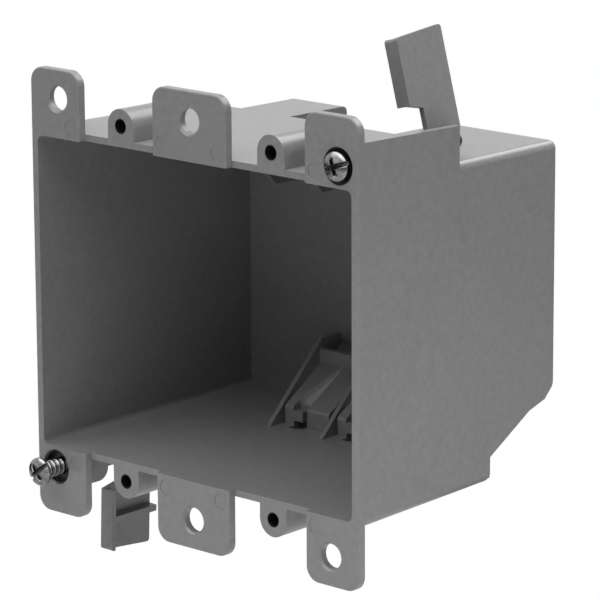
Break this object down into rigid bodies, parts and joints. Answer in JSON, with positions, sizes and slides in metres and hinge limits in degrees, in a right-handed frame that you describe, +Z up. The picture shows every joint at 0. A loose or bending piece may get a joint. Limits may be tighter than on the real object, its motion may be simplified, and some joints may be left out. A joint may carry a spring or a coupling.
{
  "type": "drywall back box",
  "caption": "Plastic old-work wall box with ears, screw bosses, folded cable clamps and swing-out wall clamps drawn up by screws.",
  "frame": {"origin": "middle of the opening, in the front plane of the ears", "axes": "+X to the right seen from the front, +Y into the wall, +Z up"},
  "size_m": [0.1002, 0.0775, 0.1346],
  "materials": {
    "box_plastic": "satin moulded grey plastic with a fine even texture",
    "wing_plastic": "satin moulded grey plastic",
    "screw_steel": "bright zinc plated steel"
  },
  "bodies": {
    "housing": {"box": "box_plastic"},
    "screw_top": {"clamp_screw_top": "screw_steel"},
    "wing_top": {"clamp_wing_top": "wing_plastic"},
    "screw_bottom": {"clamp_screw_bottom": "screw_steel"},
    "wing_bottom": {"clamp_wing_bottom": "wing_plastic"}
  },
  "joints": [
    {"name": "top_clamp_travel", "type": "slide", "parent": "housing", "child": "screw_top", "axis": [0, 1, 0], "range_m": [-0.0047, 0.0021]},
    {"name": "top_wing_swing", "type": "hinge", "parent": "screw_top", "child": "wing_top", "pos_m": [0.04425, 0.032, 0.0418], "axis": [0, 1, 0], "range_deg": [-75, 29]},
    {"name": "bottom_clamp_travel", "type": "slide", "parent": "housing", "child": "screw_bottom", "axis": [0, 1, 0], "range_m": [0, 0.0068]},
    {"name": "bottom_wing_swing", "type": "hinge", "parent": "screw_bottom", "child": "wing_bottom", "pos_m": [-0.04425, 0.024, -0.0418], "axis": [0, 1, 0], "range_deg": [-92.2, 11.8]}
  ]
}
